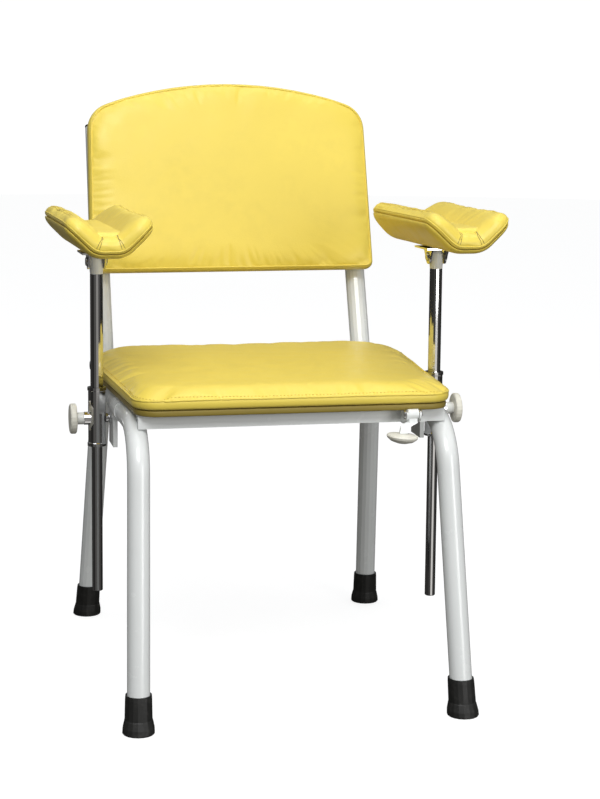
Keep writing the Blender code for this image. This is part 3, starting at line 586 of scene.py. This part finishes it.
def puckers(depth, reach, pitch, seed):
    """Small gathers that run in from the rim and die out, and a broad unevenness."""
    held = 0.010            # nothing lower than this moves

    def shape(points, rings):
        count = len(rings[0])
        rim = rings[0][:, :2]
        walked = np.cumsum(np.linalg.norm(np.roll(rim, -1, 0) - rim, axis=1))
        wave = np.array([noise.noise(Vector((distance / pitch, seed, 0.5))) for distance in walked])
        shaped = points.copy()
        for level, path in enumerate(rings):
            inset = np.linalg.norm(path[:, :2] - rim, axis=1)
            fade = np.exp(-((inset - reach * 0.45) / reach) ** 2) * (path[:, 2] > held)
            shaped[level * count:(level + 1) * count, 2] += depth * wave * fade
        for k, point in enumerate(shaped):
            if point[2] > held:
                shaped[k, 2] += depth * 0.9 * noise.noise(Vector(point) * 11 + Vector((seed, 0, 0)))
        return shaped
    return shape


def facing(node, towards):
    """The unit normal of the node's largest flat face that looks that way."""
    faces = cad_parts[node].data.polygons
    chosen = max((face for face in faces if face.normal.dot(towards) > 0.8),
                 key=lambda face: face.area)
    return chosen.normal.copy()


def leaning(node, normal):
    """A place at the node's lowest back edge: X across, Y up the slope, Z along the normal.

    With it come the node's height up the slope and its depth along the normal.
    """
    across = Vector((1, 0, 0))
    up = normal.cross(across)
    turn = Matrix((across, up, normal)).transposed().to_4x4()
    into = turn.inverted()
    spots = [into @ vertex.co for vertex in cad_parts[node].data.vertices]
    middle = (min(spot.x for spot in spots) + max(spot.x for spot in spots)) / 2
    corner = Vector((middle, min(spot.y for spot in spots), min(spot.z for spot in spots)))
    height = max(spot.y for spot in spots) - corner.y
    depth = max(spot.z for spot in spots) - corner.z
    return Matrix.Translation(turn @ corner) @ turn, height, depth


def seat():
    """The seat's cushion, and its cover turned down over the board's edge, coloured in painted
    shade.
    """
    low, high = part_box("seat_cushion")
    place = Matrix.Translation((0, (low.y + high.y) / 2, low.z))
    outline = outline_of("seat_cushion", place, SEAT_COUNT)
    seam = SEAT_SEAM_H
    rim = [(0.030, 0.0), (0.010, 0.0), (0.0045, 0.0004), (0.0016, 0.0018), (0.0004, 0.0045),
           (-0.0002, 0.0080), (0.0, 0.0108), (0.0008, seam - 0.0009), (0.0018, seam),
           (0.0012, seam + 0.0012), (0.0014, seam + 0.0026), (0.0032, seam + 0.0046),
           (0.0065, seam + 0.0064), (0.0115, seam + 0.0079), (0.0185, seam + 0.0090),
           (0.0280, seam + 0.0098), (0.0400, seam + 0.0104)]
    seam_row = 8
    stitch_row = 11
    core = outline * 0.12
    rings = cushion_rings(outline, rim, core, crown=FLAT_CROWN, rings=22)
    gathers = puckers(depth=0.0007, reach=0.022, pitch=0.030, seed=3.1)
    thing, rows = cushion("seat_upholstery", "seat_cushion", "frame", rings, place, seam_row,
                          pressure=4, cap=0.005, swell=gathers)

    wrap_rim = [(0.050, -0.00980), (0.0075, -0.00980), (0.0048, -0.0092), (0.0038, -0.0078),
                (0.0034, -0.0050), (0.0036, -0.0020), (0.0042, -0.00045), (0.0100, -0.00025)]
    rings = cushion_rings(outline, wrap_rim, core, crown=0.0, rings=1)
    # the turned-down cover is the vinyl darkened as painted shade under the seat's edge; its
    # underside is plywood
    wrap, _ = cushion("seat_wrap", "seat_board", "frame", rings, place, slot="vinyl_dark")
    wrap.data.materials.append(FINISHES["plywood"])
    cap_faces = len(outline) // 2
    underside = len(wrap.data.polygons) - 2 * cap_faces
    for index in range(underside, underside + cap_faces):
        wrap.data.polygons[index].material_index = 1

    piping("seat_welt", rows[seam_row], thing, "frame", radius=0.0016, lift=0.0005)
    stitches("seat_stitches", rows[stitch_row], thing, "frame", pitch=0.0052, radius=0.00050,
             lift=0.0003)


def backrest():
    place, high, thick = leaning("back_cushion", facing("back_board", Vector((0, -1, 0))))
    outline = outline_of("back_cushion", place, SEAT_COUNT)
    rim = [(0.030, 0.0), (0.010, 0.0), (0.0040, 0.0004), (0.0012, 0.0020), (0.0, 0.0055),
           (-0.0004, 0.0110), (-0.0002, 0.0165), (0.0006, 0.0205), (0.0018, thick - 0.0050),
           (0.0032, thick - 0.0034), (0.0046, thick - 0.0028), (0.0058, thick - 0.0026),
           (0.0072, thick - 0.0016), (0.0100, thick - 0.0008), (0.0150, thick - 0.0003),
           (0.0240, thick), (0.0380, thick + 0.0003)]
    seam_row = 10
    core = (outline - (0, high / 2)) * 0.12 + (0, high / 2)
    rings = cushion_rings(outline, rim, core, crown=FLAT_CROWN, rings=20)
    gathers = puckers(depth=0.0006, reach=0.020, pitch=0.034, seed=7.7)
    thing, rows = cushion("back_upholstery", "back_cushion", "backrest", rings, place, seam_row,
                          pressure=3, cap=0.004, swell=gathers)
    piping("back_welt", rows[seam_row], thing, "backrest", radius=0.0011, lift=0.0003)


def trough_bend(points):
    """Turn a flat pad (x across, z thick) up along the two creases of the trough."""
    shaped = points.copy()
    for k, (x, _, z) in enumerate(points):
        side = math.copysign(1, x)
        beyond = abs(x) - CREASE_START
        if beyond <= 0:
            continue
        angle = min(beyond, CREASE_ARC) / CREASE_R
        run = max(0, beyond - CREASE_ARC)
        reach = CREASE_R - z
        shaped[k, 0] = side * (CREASE_START + reach * math.sin(angle) + run * math.cos(angle))
        shaped[k, 2] = CREASE_R - reach * math.cos(angle) + run * math.sin(angle)
    return shaped


def arm_seams(hand, place, outline, reach, thing, rows):
    """The band's upper seam along the wings and the far end, and the darts of the near end, drawn
    as lines of painted shade.
    """
    body = f"{hand}_trough"
    wing = [k for k, (_, y) in enumerate(outline) if y > DART_START - reach]
    seam_row = 11
    piping(f"{hand}_arm_seam", rows[seam_row][wing], thing, body, radius=0.0006, lift=0.0001,
           closed=False)
    stitches(f"{hand}_arm_stitches", rows[seam_row + 1][wing], thing, body, pitch=0.0050,
             radius=0.00042, lift=0.0002, closed=False)
    surface = surface_of(thing)
    crease = CREASE_START + CREASE_ARC / 2
    points = []
    faces = []
    for side in (-1, 1):
        for offset in (-DART_GAP, DART_GAP):
            line = [(side * (crease + offset), -reach - 0.002, height)
                    for height in np.linspace(0.0062, 0.0190, 8)]
            line += [(side * (crease + offset * 0.8), -reach + run, ARM_T + 0.003)
                     for run in np.linspace(0.004, 0.030, 9)]
            bent = in_world(trough_bend(np.array(line)), place)
            spots, _ = laid(evenly(bent, 0.0015, False), surface, 0.0)
            more, quads = tube_data(spots, 0.00045, sides=6)
            faces += [tuple(len(points) + spot for spot in quad) for quad in quads]
            points += more
    # the darts' seams are drawn in the vinyl darkened as painted shade in their creases
    add_piece(f"{hand}_arm_darts", points, faces, "vinyl_dark", body)


def arm_rest(hand, side):
    """One trough's cushion, shaped in the flat and bent, and the facing of its board."""
    normal = facing(f"{hand}_arm_board", Vector((0, 0, 1)))
    place, length, _ = leaning(f"{hand}_arm_cushion", normal)
    place = place @ Matrix.Translation((0, length / 2, 0))
    low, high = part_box(f"{hand}_arm_cushion")
    wing = ((high.x - low.x) / 2 - FLAT_HALF) / math.cos(CREASE_ANGLE)
    half = CREASE_START + CREASE_ARC + wing - CREASE_CUT
    reach = length / 2
    body = f"{hand}_trough"
    outline = pad_outline(half, reach, ARM_COUNT)
    rim = [(0.020, 0.0), (0.008, 0.0), (0.0032, 0.0004), (0.0012, 0.0016), (0.0010, 0.0030),
           (0.0016, 0.0040), (0.0004, 0.0052), (0.0, 0.0080), (0.0002, 0.0110),
           (0.0010, 0.0138), (0.0026, BAND_TOP), (0.0030, BAND_TOP + 0.0014),
           (0.0048, 0.0188), (0.0078, 0.0208), (0.0120, 0.0222), (0.0180, ARM_T),
           (0.0260, ARM_T + 0.0004)]
    welt_row = 5
    core = outline * (0.04, 0.58)
    rings = cushion_rings(outline, rim, core, crown=0.0, rings=14)
    gathers = puckers(depth=0.0010, reach=0.016, pitch=0.020, seed=5.0 + side)
    thing, rows = cushion(f"{hand}_arm_upholstery", f"{hand}_arm_cushion", body, rings, place,
                          welt_row, pressure=2.5, cap=0.003, bend=trough_bend, swell=gathers)
    piping(f"{hand}_arm_welt", rows[welt_row], thing, body, radius=0.0012, lift=0.0004)
    arm_seams(hand, place, outline, reach, thing, rows)

    lining_rim = [(0.016, -0.0003), (0.0065, -0.0003), (0.0044, -0.0008), (0.0044, -0.0016),
                  (0.0062, -0.0034), (0.0095, -0.0052), (0.0145, -0.0065),
                  (0.0220, -ARM_LINING_T - 0.0002)]
    rings = cushion_rings(outline, lining_rim, core, crown=0.0, rings=8)
    lining, _ = cushion(f"{hand}_arm_lining", f"{hand}_arm_board", body, rings, place,
                        bend=trough_bend)


# ---- the side frame's bent tubes, turned finely ----
def side_tube(hand, side):
    """Front leg and rail in one: up the leg, round the bend and back along the rail."""
    _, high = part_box(f"{hand}_front_leg_and_rail")
    rail = high.z - TUBE_R
    start = Vector((side * FRONT_FOOT[0], FRONT_FOOT[1], 0))
    lean = Vector((side * FRONT_LEAN[0], FRONT_LEAN[1], 1))
    corner = start + lean * rail
    begin = start + lean * TUBE_START
    end = Vector((corner.x, high.y, rail))
    back = (begin - corner).normalized()
    ahead = (end - corner).normalized()
    half = back.angle(ahead) / 2
    centre = corner + (back + ahead).normalized() * BEND_R / math.sin(half)
    first = corner + back * BEND_R / math.tan(half) - centre
    last = corner + ahead * BEND_R / math.tan(half) - centre
    sweep = first.angle(last)
    path = [begin + (centre + first - begin) * share for share in np.linspace(0, 0.96, 10)]
    for share in np.linspace(0, 1, 33):
        path.append(centre + first * math.sin((1 - share) * sweep) / math.sin(sweep)
                    + last * math.sin(share * sweep) / math.sin(sweep))
    path += [centre + last + (end - centre - last) * share for share in np.linspace(0.04, 1, 10)]
    points, faces = tube_data(path, TUBE_R, sides=48)
    thing = add_piece(f"{hand}_side_tube", points, faces, "powder_coat", "frame")
    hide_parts(f"{hand}_front_leg_and_rail")


def upright_cap(hand):
    """A plastic cap on the open end of one of the backrest's tubes."""
    node = f"{hand}_back_upright"
    _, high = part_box(node)
    top = [vertex.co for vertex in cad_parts[node].data.vertices
           if vertex.co.z > high.z - 0.012]
    centre = sum(top, Vector()) / len(top)
    radius = (max(spot.x for spot in top) - min(spot.x for spot in top)) / 2
    axis = facing("back_board", Vector((0, -1, 0))).cross(Vector((1, 0, 0)))
    reach = max((spot - centre).dot(axis) for spot in top)
    turn = Vector((0, 0, 1)).rotation_difference(axis).to_matrix().to_4x4()
    place = Matrix.Translation(centre + axis * (reach + 0.0002)) @ turn
    profile = [(0, 0), (radius - 0.0012, 0), (radius + 0.0002, 0.0008),
               (radius + 0.0004, 0.0022), (radius - 0.0006, 0.0036), (radius - 0.0030, 0.0046),
               (radius * 0.6, 0.0052), (0, 0.0055)]
    lathe(f"{hand}_upright_cap", profile, place, "black_enamel", "backrest")


# ---- stage, light and camera ----
def add_floor():
    sides = 96
    points = [(0, 0, -FLOOR_DROP)]
    points += [(*on_circle(FLOOR_R, k, sides), -FLOOR_DROP) for k in range(sides)]
    faces = [(0, 1 + k, 1 + (k + 1) % sides) for k in range(sides)]
    mesh = bpy.data.meshes.new("studio_floor")
    mesh.from_pydata(points, [], faces)
    floor = bpy.data.objects.new("studio_floor", mesh)
    bpy.context.scene.collection.objects.link(floor)
    paint = Finish("floor_finish", (0.35, 0.35, 0.35), 0.8, Specular_IOR_Level=0.1,
                   Emission_Color=(1, 1, 1, 1), Emission_Strength=0.82)
    paint.mottle(3, 0.006)
    paint.bump(paint.cloud(300, 2), 0.0001, 0.1)
    mesh.materials.append(paint.material)
    floor.visible_glossy = False
    floor.visible_diffuse = False


def add_softbox(name, spot, aim, width, height, power):
    light = bpy.data.lights.new(name, "AREA")
    light.shape = "RECTANGLE"
    light.size = width
    light.size_y = height
    light.energy = power
    thing = bpy.data.objects.new(name, light)
    bpy.context.scene.collection.objects.link(thing)
    thing.location = spot
    thing.rotation_euler = (Vector(aim) - Vector(spot)).to_track_quat("-Z", "Y").to_euler()


def studio_walls(graph, split):
    """The brightness round the studio, for each direction's angle about Z."""
    angle = graph.node("ShaderNodeMath")
    angle.operation = "ARCTAN2"
    graph.put(split.outputs["X"], angle.inputs[0])
    graph.put(split.outputs["Y"], angle.inputs[1])
    share = graph.spread(angle.outputs[0], -math.pi, math.pi)
    ramp = graph.node("ShaderNodeValToRGB", Fac=share)
    elements = ramp.color_ramp.elements
    elements.remove(elements[0])
    for index, (spot, value) in enumerate(STUDIO_ROUND):
        stop = elements.new(spot) if index else elements[0]
        stop.position = spot
        stop.color = (value, value * 0.97, value * 0.92, 1)
    return ramp.outputs[0]


def add_world():
    """White to the camera, a soft grey studio to everything else."""
    world = bpy.data.worlds.new("studio")
    bpy.context.scene.world = world
    world.use_nodes = True
    world.node_tree.nodes.clear()
    graph = Graph(world.node_tree)
    paths = graph.node("ShaderNodeLightPath")
    place = graph.node("ShaderNodeTexCoord")
    split = graph.node("ShaderNodeSeparateXYZ", Vector=place.outputs["Generated"])
    height = split.outputs["Z"]
    polished = graph.mixed(graph.spread(height, 0.25, 0.75), studio_walls(graph, split),
                           (0.85, 0.87, 0.90, 1))
    soft = graph.mixed(graph.spread(height, -0.35, 0.6), (0.13, 0.125, 0.115, 1),
                       (0.42, 0.43, 0.44, 1))
    around = graph.node("ShaderNodeBackground", Strength=1.0,
                        Color=graph.mixed(paths.outputs["Is Glossy Ray"], soft, polished))
    seen = graph.node("ShaderNodeBackground", Strength=1.05, Color=(1, 1, 1, 1))
    mix = graph.node("ShaderNodeMixShader", Fac=paths.outputs["Is Camera Ray"])
    graph.put(around.outputs[0], mix.inputs[1])
    graph.put(seen.outputs[0], mix.inputs[2])
    graph.node("ShaderNodeOutputWorld", Surface=mix.outputs[0])


def add_camera():
    level = math.cos(CAMERA_PITCH)
    forward = Vector((math.sin(CAMERA_YAW) * level, math.cos(CAMERA_YAW) * level,
                      -math.sin(CAMERA_PITCH)))
    right = Vector((math.cos(CAMERA_YAW), -math.sin(CAMERA_YAW), 0))
    up = right.cross(forward)
    across = right * math.cos(CAMERA_ROLL) + up * math.sin(CAMERA_ROLL)
    upright = up * math.cos(CAMERA_ROLL) - right * math.sin(CAMERA_ROLL)
    turn = Matrix((across, upright, -forward)).transposed().to_4x4()
    lens = bpy.data.cameras.new("camera")
    lens.lens = CAMERA_LENS
    lens.sensor_width = 36
    lens.shift_x, lens.shift_y = CAMERA_SHIFT
    lens.clip_end = 60
    camera = bpy.data.objects.new("camera", lens)
    bpy.context.scene.collection.objects.link(camera)
    camera.matrix_world = Matrix.Translation(CAMERA_SPOT) @ turn
    bpy.context.scene.camera = camera


seat()
backrest()
for hand, side in HANDS:
    arm_rest(hand, side)
for hand, side in HANDS:
    side_tube(hand, side)
for hand, _ in HANDS:
    upright_cap(hand)

add_floor()
add_world()
add_softbox("key_light", (-0.5, -2.3, 2.7), aim=(0, 0, 0.5), width=1.5, height=1.0, power=53)
add_softbox("fill_light", (1.4, -2.6, 0.9), aim=(0, 0, 0.35), width=1.0, height=1.5, power=24)
add_softbox("top_light", (0.1, -0.2, 2.8), aim=(0, 0, 0.4), width=1.8, height=1.6, power=20)
add_camera()
bpy.context.scene.view_settings.view_transform = "Standard"
